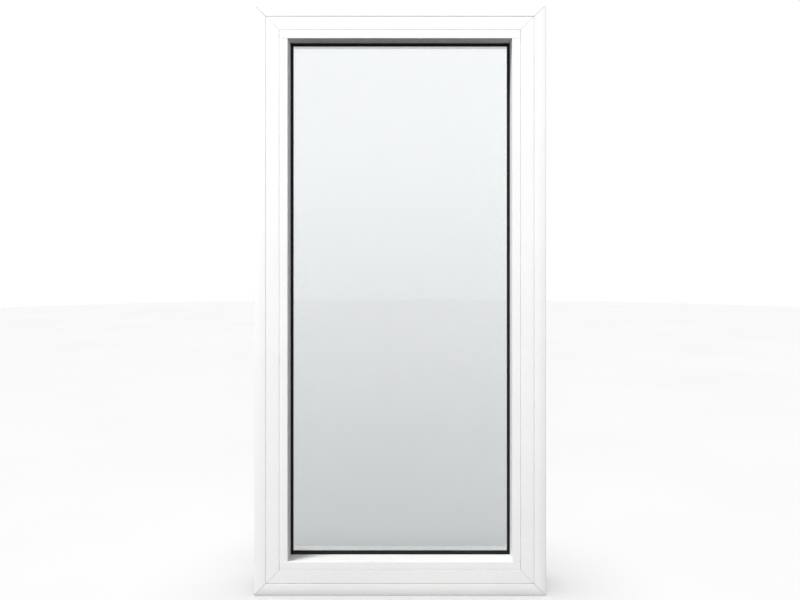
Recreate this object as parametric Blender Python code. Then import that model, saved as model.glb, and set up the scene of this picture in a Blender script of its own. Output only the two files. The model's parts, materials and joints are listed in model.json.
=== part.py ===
"""Outward-opening casement window: a mitred aluminium frame and a double-glazed sash.

The outside faces -Y and the room is on the +Y side. +X is to the right seen from outside. The origin is
the middle of the sill's underside. All sizes are in metres. A section is drawn as (u, y) points, where u is
the distance inward from the frame's outer edge, so that one section serves the sill, the head and both jambs.
"""

import math

import bmesh
import bpy
from mathutils import Matrix, Vector

for old in list(bpy.data.objects):
    bpy.data.objects.remove(old, do_unlink=True)

# Overall sizes
FRAME_WIDTH = 0.597
FRAME_HEIGHT = 1.207
FRAME_DEPTH = 0.1016
GAP = 0.0003

# Frame extrusion
FRAME_FACE = 0.0240
FRAME_TUBE = 0.0180
FRAME_WALL = 0.0020
LIP_THICKNESS = 0.0030
EDGE_ROLL = 0.0015
CROWN_WIDTH = 0.0160
CROWN_TILT = 12
MITRE_GAP = 0.0006
EDGE_RADIUS = 0.0008
STOP_HEIGHT = 0.0440
STOP_THICKNESS = 0.0030
KEY_LEG = 0.0450
FRAME_KEY_DEPTH = 0.0400

# Sash extrusion and glazing, in order from the outside in
REVEAL_GAP = 0.0008
SASH_FACE = 0.0270
SASH_LIP = 0.0112
SASH_WALL = 0.0020
SASH_KEY_DEPTH = 0.0260
BEAD_WIDTH = 0.0171
BEAD_DEPTH = 0.0360
BEAD_WALL = 0.0016
GASKET_THICKNESS = 0.0022
GASKET_LIP = 0.0060
GASKET_BITE = 0.0070
GLASS_BITE = 0.0092
PANE_THICKNESS = 0.0030
SPACER_DEPTH = 0.0094
SPACER_WIDTH = 0.0072
SPACER_SIGHT = 0.0030
TAPE_THICKNESS = 0.0012
GLAZING_LEG = 0.0037
SETTING_BLOCK = 0.1000

# Frame seal
SEAL_THICKNESS = 0.0054
SEAL_WIDTH = 0.0050
SEAL_SETBACK = 0.0025

# Hinge: two equal links, so the shoe slides twice one link's shortening
LINK_LENGTH = 0.0600
HINGE_SETBACK = 0.0120
SHOE_SETBACK = 0.0120
TRACK_WIDTH = 0.0140
TRACK_WALL = 0.0015
TRACK_HEIGHT = 0.0054
SHOE_LENGTH = 0.0180
ARM_WIDTH = 0.0140
ARM_THICKNESS = 0.0022
ARM_LIFT = 0.0005
SASH_ARM_LENGTH = 0.2000
SASH_ARM_WIDTH = 0.0150
SASH_ARM_THICKNESS = 0.0025
LINK_PIN_RADIUS = 0.0025
SHOE_PIN_RADIUS = 0.0030
PIN_CLEARANCE = 0.0002
FACE_CLEARANCE = 0.0004
CUT_OVERRUN = 0.0010
TRACK_PAST_SHOE = 0.0040
TRACK_PAST_ANCHOR = 0.0120
RIVET_SHOULDER = 0.0018
SHOE_COLLAR = 0.0015

# Gear teeth, as multiples of the module: depth below and height above the pitch line, and half widths
TOOTH_DEPTH = 1.1
TOOTH_HEIGHT = 0.8
TOOTH_FOOT = 0.92
TOOTH_CREST = 0.36

# Crank operator
OPERATOR_X = 0.0720
OPERATOR_Y = 0.0640
OPERATOR_ARM_LENGTH = 0.1220
OPERATOR_ARM_WIDTH = 0.0120
CHANNEL_OFFSET = 0.0340
CHANNEL_RUN = 0.0180
CHANNEL_WALL = 0.0018
CHANNEL_TOP = 0.0015
ROLLER_RADIUS = 0.0046
ROLLER_CLEARANCE = 0.00045
GEAR_TEETH = 36
GEAR_MODULE = 0.00125
GEAR_THICKNESS = 0.0050
GEAR_SWEEP = 52
HUB_RADIUS = 0.0060
SLOT_CLEARANCE = 0.0015
BORE_OVERRUN = 0.0100
CHANNEL_END = 0.0120
BASE_PAST_GEAR = 0.0680
BASE_PAST_WORM = 0.0260
BASE_SETBACK = 0.0020
ROOT_DEPTH = 0.0010
COVER_CUT = 0.0020
POST_RADIUS = 0.0030
WORM_RADIUS = 0.0050
WORM_LENGTH = 0.0120
SHAFT_RADIUS = 0.0034
BEARING_WALL = 0.0026
BEARING_LENGTH = 0.0050
WORM_TO_BEARING = 0.0050
BASE_THICKNESS = 0.0023
COVER_HEIGHT = 0.0190
COVER_WALL = 0.0018
CRANK_HUB_RADIUS = 0.0080
CRANK_LENGTH = 0.1000
CRANK_WIDTH = 0.0120
CRANK_HEIGHT = 0.0126
CRANK_HUB_LENGTH = 0.0095
HUB_CHAMFER = 0.0010
SHAFT_IN_HUB = 0.0070
TONGUE_ROOT = 0.0060
TONGUE_HALF = 0.0055
FORK_DEPTH = 0.0100
FORK_HALF = 0.0088
CRANK_TONGUE = 0.0060
CRANK_PIN_RADIUS = 0.0020
KNOB_RADIUS = 0.0085
KNOB_LENGTH = 0.0220

# Multi-point lock on the right jamb
LOCK_HEIGHT = 0.4400
LEVER_LENGTH = 0.0900
LEVER_THICKNESS = 0.0062
LEVER_HUB_RADIUS = 0.0090
LEVER_TIP_RADIUS = 0.0055
SPINDLE_RADIUS = 0.0043
ESCUTCHEON_LENGTH = 0.0900
ESCUTCHEON_WIDTH = 0.0230
ESCUTCHEON_THICKNESS = 0.0030
PINION_TEETH = 16
PINION_MODULE = 0.0010
PINION_THICKNESS = 0.0070
RACK_TRAVEL = 0.0210
RACK_BACK = 0.0054
TIE_BAR_WIDTH = 0.0120
TIE_BAR_THICKNESS = 0.0030
TIE_BAR_Y = -0.0050
TIE_BAR_MARGIN = 0.0400
LOWER_POINT = 0.3000
UPPER_POINT = 0.8800
LOCK_ROLLER_RADIUS = 0.0030
LOCK_STUD_RADIUS = 0.0020
KEEPER_LENGTH = 0.0330
KEEPER_LEAD = 0.0120
KEEPER_LIP = 0.0058
KEEPER_PLATE = 0.0015
GUIDE_LENGTH = 0.0160
GUIDE_WALL = 0.0015
SPINDLE_CLEARANCE = 0.0010
DRIVE_SLOT_CLEARANCE = 0.0006
RACK_LINK_HALF = 0.0100
RACK_LINK_REACH = 0.0050
KEEPER_CLEARANCE = 0.0010
KEEPER_REACH = 0.0090
KEEPER_WALL = 0.0028
KEEPER_SETBACK = 0.0015
GUIDE_TO_ROLLER = 0.0450

# Levels across the depth, from the outside face to the sash's back
HALF_WIDTH = FRAME_WIDTH / 2
FRONT = -FRAME_DEPTH / 2
BACK = FRAME_DEPTH / 2
BEAD_BACK = FRONT + BEAD_DEPTH
GASKET_FRONT = BEAD_BACK + GAP
GASKET_BACK = GASKET_FRONT + GASKET_THICKNESS
OUTER_PANE_FRONT = GASKET_BACK + GAP
OUTER_PANE_BACK = OUTER_PANE_FRONT + PANE_THICKNESS
SPACER_FRONT = OUTER_PANE_BACK + GAP
SPACER_BACK = SPACER_FRONT + SPACER_DEPTH
INNER_PANE_FRONT = SPACER_BACK + GAP
INNER_PANE_BACK = INNER_PANE_FRONT + PANE_THICKNESS
TAPE_FRONT = INNER_PANE_BACK + GAP
TAPE_BACK = TAPE_FRONT + TAPE_THICKNESS
LEG_FRONT = TAPE_BACK + GAP
SASH_BACK = LEG_FRONT + GLAZING_LEG
STOP_FRONT = SASH_BACK + SEAL_THICKNESS + 2 * GAP
STOP_BACK = STOP_FRONT + STOP_THICKNESS

# Distances inward from the frame's outer edge
SASH_EDGE = FRAME_FACE + REVEAL_GAP
SASH_BOX = SASH_EDGE + SASH_LIP
SASH_REBATE = SASH_EDGE + SASH_FACE
BEAD_EDGE = SASH_REBATE + GAP
SIGHT_LINE = BEAD_EDGE + BEAD_WIDTH
GLASS_EDGE = SIGHT_LINE - GLASS_BITE
SPACER_EDGE = SIGHT_LINE + SPACER_SIGHT

# Hinge places
HINGE_Y = FRONT + HINGE_SETBACK
SHOE_X = -HALF_WIDTH + SASH_EDGE + SHOE_SETBACK
LINK_X = SHOE_X + LINK_LENGTH
ANCHOR_X = SHOE_X + 2 * LINK_LENGTH
TRACK_BASE = FRAME_TUBE + GAP
TRACK_TOP = TRACK_BASE + TRACK_HEIGHT
ARM_BOTTOM = FRAME_FACE + ARM_LIFT
ARM_TOP = ARM_BOTTOM + ARM_THICKNESS
SASH_ARM_TOP = SASH_BOX - GAP
SASH_ARM_BOTTOM = SASH_ARM_TOP - SASH_ARM_THICKNESS

# Operator places
GEAR_X = ANCHOR_X + OPERATOR_X
GEAR_Y = HINGE_Y + OPERATOR_Y
GEAR_RADIUS = GEAR_TEETH * GEAR_MODULE / 2
GEAR_BOTTOM = ARM_TOP + ARM_LIFT
GEAR_TOP = GEAR_BOTTOM + GEAR_THICKNESS
WORM_X = GEAR_X + GEAR_RADIUS + WORM_RADIUS
WORM_Z = (GEAR_BOTTOM + GEAR_TOP) / 2
WORM_PITCH = math.pi * GEAR_MODULE
ARM_START = math.asin((OPERATOR_Y - CHANNEL_OFFSET) / OPERATOR_ARM_LENGTH)
ROLLER_X = GEAR_X - OPERATOR_ARM_LENGTH * math.cos(ARM_START)
CHANNEL_Y = HINGE_Y + CHANNEL_OFFSET
CHANNEL_X = ROLLER_X - CHANNEL_RUN / 2
BASE_TOP = TRACK_BASE + BASE_THICKNESS
COVER_TOP = BASE_TOP + COVER_HEIGHT
COVER_FRONT = STOP_BACK + GAP
COVER_BACK = BACK - GAP
CRANK_HUB_Y = BACK + 0.0010
CRANK_PIVOT_Y = CRANK_HUB_Y + 0.0165
KNOB_X = WORM_X + CRANK_LENGTH

# Lock places
JAMB_FACE = HALF_WIDTH - FRAME_TUBE
CAVITY_FACE = JAMB_FACE + FRAME_WALL
SPINDLE_Y = (STOP_BACK + BACK) / 2
PINION_RADIUS = PINION_TEETH * PINION_MODULE / 2
PINION_X = CAVITY_FACE + 0.0020
RACK_PITCH_Y = SPINDLE_Y - PINION_RADIUS
TIE_BAR_X = JAMB_FACE - TIE_BAR_THICKNESS - 2 * GAP
DRIVE_PIN_Z = LOCK_HEIGHT - 0.0050
SASH_SIDE = HALF_WIDTH - SASH_BOX

WHITE = (0.90, 0.90, 0.89, 1.0)
STEEL = (0.55, 0.56, 0.57, 1.0)
BLACK = (0.02, 0.02, 0.02, 1.0)


def arc(centre, radius, start, end, steps):
    """Points on a circle from one angle to another, in degrees, both ends included."""
    angles = [math.radians(start + (end - start) * i / steps) for i in range(steps + 1)]
    return [(centre[0] + radius * math.cos(a), centre[1] + radius * math.sin(a)) for a in angles]


def circle(centre, radius, steps=20):
    """Points round a whole circle."""
    return arc(centre, radius, 0, 360 - 360 / steps, steps - 1)


def rectangle(low, high):
    """The four corners of an upright rectangle."""
    return [(low[0], low[1]), (high[0], low[1]), (high[0], high[1]), (low[0], high[1])]


def capsule(start, end, start_radius, end_radius, steps=8):
    """The outline round two circles, with straight sides between them."""
    along = math.degrees(math.atan2(end[1] - start[1], end[0] - start[0]))
    tail = arc(start, start_radius, along + 90, along + 270, steps)
    head = arc(end, end_radius, along - 90, along + 90, steps)
    return tail + head


def make_material(name, colour, roughness, metallic):
    """A plain Principled material for one sub-part."""
    material = bpy.data.materials.new(name)
    material.use_nodes = True
    shader = material.node_tree.nodes["Principled BSDF"]
    shader.inputs["Base Color"].default_value = colour
    shader.inputs["Roughness"].default_value = roughness
    shader.inputs["Metallic"].default_value = metallic
    if colour[3] < 1:
        shader.inputs["Alpha"].default_value = colour[3]
    return material


def finish_object(name, mesh_builder, finish, origin, smooth):
    """Turns a bmesh into a named object with its own material and its origin on the given point."""
    bmesh.ops.recalc_face_normals(mesh_builder, faces=mesh_builder.faces)
    mesh = bpy.data.meshes.new(name)
    mesh_builder.to_mesh(mesh)
    mesh_builder.free()
    mesh.transform(Matrix.Translation(-Vector(origin)))
    if smooth:
        mesh.shade_smooth()
        mesh.set_sharp_from_angle(angle=math.radians(32))
    mesh.materials.append(make_material(name, *finish))
    made = bpy.data.objects.new(name, mesh)
    made.location = origin
    bpy.context.scene.collection.objects.link(made)
    return made


def add_loft(mesh_builder, start_loops, end_loops):
    """Walls between matching closed loops, closed by a filled cap at each end. Later loops are holes."""
    for loops in (start_loops, end_loops):
        for index, loop in enumerate(loops):
            loops[index] = [mesh_builder.verts.new(point) for point in loop]
    for first, second in zip(start_loops, end_loops):
        for i, corner in enumerate(first):
            following = (i + 1) % len(first)
            mesh_builder.faces.new((corner, first[following], second[following], second[i]))
    for loops in (start_loops, end_loops):
        rim = []
        for loop in loops:
            for i, corner in enumerate(loop):
                rim.append(mesh_builder.edges.get((corner, loop[(i + 1) % len(loop)])))
        bmesh.ops.triangle_fill(mesh_builder, use_beauty=True, edges=rim)


def on_side(side, along, u, y):
    """A section point in space: along is measured from the middle of that side of the frame."""
    if side == "sill":
        return Vector((along, y, u))
    if side == "head":
        return Vector((along, y, FRAME_HEIGHT - u))
    if side == "left":
        return Vector((-HALF_WIDTH + u, y, FRAME_HEIGHT / 2 + along))
    return Vector((HALF_WIDTH - u, y, FRAME_HEIGHT / 2 + along))


def add_bar(name, side, section, hollow, square_end, finish, origin=(0, 0, 0), joint=GAP):
    """A length of extrusion. Its ends are mitred at 45 degrees, or cut square at the distance square_end.

    joint is the gap that it leaves to its neighbour at a mitre.
    """
    half = FRAME_WIDTH / 2 if side in ("sill", "head") else FRAME_HEIGHT / 2

    def reach(u):
        return half - (u if square_end is None else square_end) - joint / math.sqrt(2)

    mesh_builder = bmesh.new()
    loops = [section] + ([hollow] if hollow else [])
    starts = [[on_side(side, -reach(u), u, y) for u, y in loop] for loop in loops]
    ends = [[on_side(side, reach(u), u, y) for u, y in loop] for loop in loops]
    add_loft(mesh_builder, starts, ends)
    return finish_object(name, mesh_builder, finish, origin, True)


def add_ring(name, section, finish, origin=(0, 0, 0)):
    """A closed rectangular loop round the window with the given section."""
    mesh_builder = bmesh.new()
    loops = []
    for u, y in section:
        corners = [(-1, u), (1, u), (1, FRAME_HEIGHT - u), (-1, FRAME_HEIGHT - u)]
        loops.append([mesh_builder.verts.new((sign * (HALF_WIDTH - u), y, z)) for sign, z in corners])
    for i, loop in enumerate(loops):
        following = loops[(i + 1) % len(loops)]
        for j in range(4):
            k = (j + 1) % 4
            mesh_builder.faces.new((loop[j], loop[k], following[k], following[j]))
    return finish_object(name, mesh_builder, finish, origin, False)


def add_prism(name, axis, outline, low, high, finish, origin=(0, 0, 0), holes=(), top=False):
    """An outline pushed along an axis. On X the outline is (y, z), on Y it is (x, z), on Z it is (x, y)."""

    def place(point, height):
        placed = {"X": (height, *point), "Y": (point[0], height, point[1]), "Z": (*point, height)}[axis]
        return Vector((placed[0], placed[1], FRAME_HEIGHT - placed[2] if top else placed[2]))

    mesh_builder = bmesh.new()
    loops = [outline, *holes]
    starts = [[place(point, low) for point in loop] for loop in loops]
    ends = [[place(point, high) for point in loop] for loop in loops]
    add_loft(mesh_builder, starts, ends)
    return finish_object(name, mesh_builder, finish, origin, True)


def add_turned(name, axis, centre, profile, finish, origin=(0, 0, 0), steps=20, top=False):
    """A turned solid. Its profile is (radius, height) pairs from one end to the other."""

    def place(angle, radius, height):
        first, second = radius * math.cos(angle), radius * math.sin(angle)
        spots = {
            "X": (height, centre[0] + first, centre[1] + second),
            "Y": (centre[0] + first, height, centre[1] + second),
            "Z": (centre[0] + first, centre[1] + second, height),
        }
        x, y, z = spots[axis]
        return Vector((x, y, FRAME_HEIGHT - z if top else z))

    mesh_builder = bmesh.new()
    angles = [2 * math.pi * i / steps for i in range(steps)]
    rings = [[mesh_builder.verts.new(place(a, radius, height)) for a in angles] for radius, height in profile]
    for lower, upper in zip(rings, rings[1:]):
        for i in range(steps):
            j = (i + 1) % steps
            mesh_builder.faces.new((lower[i], lower[j], upper[j], upper[i]))
    mesh_builder.faces.new(rings[0])
    mesh_builder.faces.new(rings[-1])
    return finish_object(name, mesh_builder, finish, origin, True)


def combine(target, tool, operation):
    """Cuts the tool out of the target, or joins it on, and keeps the tool out of the model."""
    tool.hide_render = True
    tool.display_type = "WIRE"
    modifier = target.modifiers.new(tool.name, "BOOLEAN")
    modifier.operation = operation
    modifier.object = tool
    modifier.solver = "EXACT"


WHITE_COAT = (WHITE, 0.35, 0.0)
HARDWARE_COAT = ((0.86, 0.86, 0.84, 1.0), 0.4, 0.0)
STEEL_FINISH = (STEEL, 0.35, 1.0)
RUBBER = (BLACK, 0.6, 0.0)
CLEAR_GLASS = ((0.93, 0.96, 0.95, 0.35), 0.03, 0.0)
NYLON = ((0.80, 0.80, 0.78, 1.0), 0.5, 0.0)
SASH_ORIGIN = (LINK_X, HINGE_Y, 0)
SHOE_ORIGIN = (SHOE_X, HINGE_Y, 0)
ANCHOR_ORIGIN = (ANCHOR_X, HINGE_Y, 0)
GEAR_ORIGIN = (GEAR_X, GEAR_Y, 0)
WORM_ORIGIN = (WORM_X, 0, WORM_Z)
SPINDLE_ORIGIN = (0, SPINDLE_Y, LOCK_HEIGHT)


def frame_section():
    """The frame extrusion: a tube with a softly crowned outer edge, a short front lip and a stop leg."""
    tilt = math.radians(CROWN_TILT)
    crown_radius = EDGE_ROLL + (CROWN_WIDTH - EDGE_ROLL) / math.sin(tilt)
    roll_depth = crown_radius - (crown_radius - EDGE_ROLL) * math.cos(tilt)
    section = [(0, BACK)]
    section += arc((EDGE_ROLL, FRONT + roll_depth), EDGE_ROLL, 180, 270 - CROWN_TILT, 4)
    section += arc((CROWN_WIDTH, FRONT + crown_radius), crown_radius, 270 - CROWN_TILT, 270, 5)[1:]
    section += arc((FRAME_FACE - EDGE_RADIUS, FRONT + EDGE_RADIUS), EDGE_RADIUS, 270, 360, 3)
    section += [(FRAME_FACE, FRONT + LIP_THICKNESS), (FRAME_TUBE, FRONT + LIP_THICKNESS)]
    section += [(FRAME_TUBE, STOP_FRONT), (STOP_HEIGHT, STOP_FRONT), (STOP_HEIGHT, STOP_BACK)]
    section += [(FRAME_TUBE, STOP_BACK), (FRAME_TUBE, BACK)]
    far = FRAME_TUBE - FRAME_WALL
    return section, rectangle((FRAME_WALL, FRONT + roll_depth + FRAME_WALL), (far, BACK - FRAME_WALL))


def sash_section():
    """The sash extrusion: a tube with a front lip outward and a glazing leg inward."""
    section = arc((SASH_EDGE + EDGE_RADIUS, FRONT + EDGE_RADIUS), EDGE_RADIUS, 180, 270, 3)
    section += arc((SASH_REBATE - EDGE_RADIUS, FRONT + EDGE_RADIUS), EDGE_RADIUS, 270, 360, 3)
    section += [(SASH_REBATE, LEG_FRONT), (SIGHT_LINE, LEG_FRONT), (SIGHT_LINE, SASH_BACK)]
    section += [(SASH_BOX, SASH_BACK), (SASH_BOX, FRONT + LIP_THICKNESS), (SASH_EDGE, FRONT + LIP_THICKNESS)]
    low = (SASH_BOX + SASH_WALL, FRONT + SASH_WALL)
    high = (SASH_REBATE - SASH_WALL, SASH_BACK - SASH_WALL)
    return section, rectangle(low, high)


def bead_section():
    """The glazing bead: a slim tube that runs from the outside face back to the gasket."""
    section = arc((BEAD_EDGE + EDGE_RADIUS, FRONT + EDGE_RADIUS), EDGE_RADIUS, 180, 270, 3)
    section += arc((SIGHT_LINE - EDGE_RADIUS, FRONT + EDGE_RADIUS), EDGE_RADIUS, 270, 360, 3)
    section += [(SIGHT_LINE, BEAD_BACK), (BEAD_EDGE, BEAD_BACK)]
    low = (BEAD_EDGE + BEAD_WALL, FRONT + BEAD_WALL)
    high = (SIGHT_LINE - BEAD_WALL, BEAD_BACK - BEAD_WALL)
    return section, rectangle(low, high)


def add_corner_key(name, right, upper, low, high, front, back, origin):
    """An L-shaped block that joins two tubes at a mitre. low and high bound it inside the tubes."""
    reach = low + KEY_LEG
    corner = [(low, low), (reach, low), (reach, high), (high, high), (high, reach), (low, reach)]
    outline = []
    for u_side, u_end in corner:
        x = HALF_WIDTH - u_side if right else u_side - HALF_WIDTH
        outline.append((x, FRAME_HEIGHT - u_end if upper else u_end))
    add_prism(name, "Y", outline, front, back, STEEL_FINISH, origin)


def toothed_arc(centre, module, teeth, first, last):
    """Tooth tips and roots along an arc, from tooth first to tooth last, counted from angle 0."""
    radius = teeth * module / 2
    root = radius - TOOTH_DEPTH * module
    tip = radius + TOOTH_HEIGHT * module
    corners = ((root, -TOOTH_FOOT), (tip, -TOOTH_CREST), (tip, TOOTH_CREST), (root, TOOTH_FOOT))
    points = []
    for number in range(first, last + 1):
        middle = 2 * math.pi * number / teeth
        for reach, half_width in corners:
            angle = middle + half_width * module / reach
            points.append((centre[0] + reach * math.cos(angle), centre[1] + reach * math.sin(angle)))
    return points


def build_frame():
    """The four mitred frame members, their corner keys and the seal that the sash closes on."""
    section, hollow = frame_section()
    members = {}
    for name, side in (("sill", "sill"), ("head", "head"), ("jamb_left", "left"), ("jamb_right", "right")):
        members[side] = add_bar("frame_" + name, side, section, hollow, None, WHITE_COAT, joint=MITRE_GAP)
    arm_half = OPERATOR_ARM_WIDTH / 2
    slot_left = (GEAR_Y - STOP_FRONT) / math.tan(ARM_START) + arm_half / math.sin(ARM_START) + SLOT_CLEARANCE
    slot_right = GEAR_RADIUS + TOOTH_HEIGHT * GEAR_MODULE + SLOT_CLEARANCE
    slot_low = (GEAR_X - slot_left, GEAR_BOTTOM - ARM_LIFT)
    slot_high = (GEAR_X + slot_right, GEAR_TOP + ARM_LIFT)
    slot = add_prism(
        "cut_operator_slot",
        "Y",
        rectangle(slot_low, slot_high),
        STOP_FRONT - STOP_THICKNESS,
        STOP_BACK + STOP_THICKNESS,
        WHITE_COAT,
    )
    combine(members["sill"], slot, "DIFFERENCE")
    spindle_room = SPINDLE_RADIUS + SPINDLE_CLEARANCE
    pin_room = LOCK_ROLLER_RADIUS + DRIVE_SLOT_CLEARANCE
    drive_low = (TIE_BAR_Y - pin_room, DRIVE_PIN_Z - pin_room)
    drive_high = (TIE_BAR_Y + pin_room, DRIVE_PIN_Z + RACK_TRAVEL + pin_room)
    drive_slot = add_prism(
        "cut_drive_slot",
        "X",
        rectangle(drive_low, drive_high),
        JAMB_FACE - CUT_OVERRUN,
        CAVITY_FACE + CUT_OVERRUN,
        WHITE_COAT,
    )
    combine(members["right"], drive_slot, "DIFFERENCE")
    spindle_hole = add_turned(
        "cut_spindle_hole",
        "X",
        (SPINDLE_Y, LOCK_HEIGHT),
        [(spindle_room, JAMB_FACE - CUT_OVERRUN), (spindle_room, CAVITY_FACE + CUT_OVERRUN)],
        WHITE_COAT,
    )
    combine(members["right"], spindle_hole, "DIFFERENCE")
    low = FRAME_WALL + GAP
    high = FRAME_TUBE - FRAME_WALL - GAP
    for upper in (False, True):
        for right in (False, True):
            name = "frame_key_" + ("upper_" if upper else "lower_") + ("right" if right else "left")
            front = -FRAME_KEY_DEPTH / 2
            add_corner_key(name, right, upper, low, high, front, front + FRAME_KEY_DEPTH, (0, 0, 0))
    inner = SASH_BOX + SEAL_SETBACK
    outer = inner + SEAL_WIDTH
    middle = (inner + outer) / 2
    bulb = SEAL_WIDTH / 2
    seal = arc((middle, SASH_BACK + GAP + bulb), bulb, 180, 360, 6)
    seal += [(outer, STOP_FRONT - GAP), (inner, STOP_FRONT - GAP)]
    add_ring("frame_seal", seal, RUBBER)


def build_sash():
    """The sash members, their keys, the glazing beads and the sealed double-glazed unit."""
    section, hollow = sash_section()
    for name, side in (
        ("sash_bottom_rail", "sill"),
        ("sash_top_rail", "head"),
        ("sash_hinge_stile", "left"),
        ("sash_lock_stile", "right"),
    ):
        add_bar(name, side, section, hollow, None, WHITE_COAT, SASH_ORIGIN)
    low = SASH_BOX + SASH_WALL + GAP
    high = SASH_REBATE - SASH_WALL - GAP
    for upper in (False, True):
        for right in (False, True):
            name = "sash_key_" + ("upper_" if upper else "lower_") + ("right" if right else "left")
            front = (FRONT + SASH_BACK - SASH_KEY_DEPTH) / 2
            add_corner_key(name, right, upper, low, high, front, front + SASH_KEY_DEPTH, SASH_ORIGIN)
    bead, bead_hollow = bead_section()
    for name, side, end in (
        ("bead_bottom", "sill", BEAD_EDGE),
        ("bead_top", "head", BEAD_EDGE),
        ("bead_left", "left", SIGHT_LINE),
        ("bead_right", "right", SIGHT_LINE),
    ):
        add_bar(name, side, bead, bead_hollow, end, WHITE_COAT, SASH_ORIGIN)
    pane_reach = HALF_WIDTH - GLASS_EDGE
    pane = rectangle((-pane_reach, GLASS_EDGE), (pane_reach, FRAME_HEIGHT - GLASS_EDGE))
    add_prism("outer_pane", "Y", pane, OUTER_PANE_FRONT, OUTER_PANE_BACK, CLEAR_GLASS, SASH_ORIGIN)
    add_prism("inner_pane", "Y", pane, INNER_PANE_FRONT, INNER_PANE_BACK, CLEAR_GLASS, SASH_ORIGIN)
    spacer_start = SPACER_EDGE - SPACER_WIDTH
    bite = SIGHT_LINE - GASKET_BITE
    rings = (
        ("spacer_frame", spacer_start, SPACER_EDGE, SPACER_FRONT, SPACER_BACK, RUBBER),
        ("edge_sealant", GLASS_EDGE + GAP, spacer_start - GAP, SPACER_FRONT, SPACER_BACK, RUBBER),
        ("outer_gasket", bite, SIGHT_LINE + GASKET_LIP, GASKET_FRONT, GASKET_BACK, RUBBER),
        ("inner_glazing_tape", bite, SIGHT_LINE - GAP, TAPE_FRONT, TAPE_BACK, RUBBER),
    )
    for name, start, end, front, back, finish in rings:
        add_ring(name, rectangle((start, front), (end, back)), finish, SASH_ORIGIN)
    for name, sign in (("setting_block_left", -1), ("setting_block_right", 1)):
        middle = sign * (HALF_WIDTH - GLASS_EDGE) / 2
        block = rectangle(
            (middle - SETTING_BLOCK / 2, SASH_REBATE + GAP),
            (middle + SETTING_BLOCK / 2, GLASS_EDGE - GAP),
        )
        add_prism(name, "Y", block, OUTER_PANE_FRONT, INNER_PANE_BACK, RUBBER, SASH_ORIGIN)


def build_hinge(end, top):
    """One end's hinge: a track on the frame, a support arm, a sliding shoe and the arm under the sash."""
    half = TRACK_WIDTH / 2
    inner = half - TRACK_WALL
    floor = TRACK_BASE + TRACK_WALL
    channel = [
        (HINGE_Y - half, TRACK_BASE),
        (HINGE_Y + half, TRACK_BASE),
        (HINGE_Y + half, TRACK_TOP),
        (HINGE_Y + inner, TRACK_TOP),
        (HINGE_Y + inner, floor),
        (HINGE_Y - inner, floor),
        (HINGE_Y - inner, TRACK_TOP),
        (HINGE_Y - half, TRACK_TOP),
    ]
    start = SHOE_X - SHOE_LENGTH / 2 - TRACK_PAST_SHOE
    track = add_prism("hinge_track_" + end, "X", channel, start, ANCHOR_X + TRACK_PAST_ANCHOR, STEEL_FINISH, top=top)
    shoulder = LINK_PIN_RADIUS + RIVET_SHOULDER
    post = [
        (shoulder, TRACK_BASE + TRACK_WALL / 2),
        (shoulder, ARM_BOTTOM - GAP),
        (LINK_PIN_RADIUS, ARM_BOTTOM - GAP),
        (LINK_PIN_RADIUS, ARM_TOP),
    ]
    anchor = add_turned("join_anchor_" + end, "Z", (ANCHOR_X, HINGE_Y), post, STEEL_FINISH, top=top)
    combine(track, anchor, "UNION")

    link = capsule((ANCHOR_X, HINGE_Y), (LINK_X, HINGE_Y), ARM_WIDTH / 2, ARM_WIDTH / 2)
    eyes = [circle((x, HINGE_Y), LINK_PIN_RADIUS + PIN_CLEARANCE) for x in (ANCHOR_X, LINK_X)]
    name = "support_arm_" + end
    add_prism(name, "Z", link, ARM_BOTTOM, ARM_TOP, STEEL_FINISH, ANCHOR_ORIGIN, eyes, top)

    plate = capsule(
        (SHOE_X, HINGE_Y),
        (SHOE_X + SASH_ARM_LENGTH, HINGE_Y),
        SASH_ARM_WIDTH / 2,
        SASH_ARM_WIDTH / 2,
    )
    eye = [circle((SHOE_X, HINGE_Y), SHOE_PIN_RADIUS + PIN_CLEARANCE)]
    name = "sash_arm_" + end
    sash_arm = add_prism(name, "Z", plate, SASH_ARM_BOTTOM, SASH_ARM_TOP, STEEL_FINISH, SASH_ORIGIN, eye, top)
    boss = [
        (LINK_PIN_RADIUS, ARM_BOTTOM - 0.0001),
        (LINK_PIN_RADIUS, ARM_TOP + GAP),
        (2 * LINK_PIN_RADIUS, ARM_TOP + GAP),
        (2 * LINK_PIN_RADIUS, SASH_ARM_TOP - 0.0005),
    ]
    pin = add_turned("join_link_pin_" + end, "Z", (LINK_X, HINGE_Y), boss, STEEL_FINISH, top=top)
    combine(sash_arm, pin, "UNION")

    half_shoe = inner - GAP
    block = rectangle(
        (SHOE_X - SHOE_LENGTH / 2, HINGE_Y - half_shoe),
        (SHOE_X + SHOE_LENGTH / 2, HINGE_Y + half_shoe),
    )
    shoe_top = TRACK_TOP - GAP
    shoe = add_prism("hinge_shoe_" + end, "Z", block, floor + GAP, shoe_top, NYLON, SHOE_ORIGIN, top=top)
    collar = SHOE_PIN_RADIUS + SHOE_COLLAR
    stud = [
        (collar, shoe_top - 0.001),
        (collar, SASH_ARM_BOTTOM - GAP),
        (SHOE_PIN_RADIUS, SASH_ARM_BOTTOM - GAP),
        (SHOE_PIN_RADIUS, SASH_ARM_TOP - GAP),
    ]
    pivot = add_turned("join_shoe_pin_" + end, "Z", (SHOE_X, HINGE_Y), stud, NYLON, top=top)
    combine(shoe, pivot, "UNION")


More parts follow.
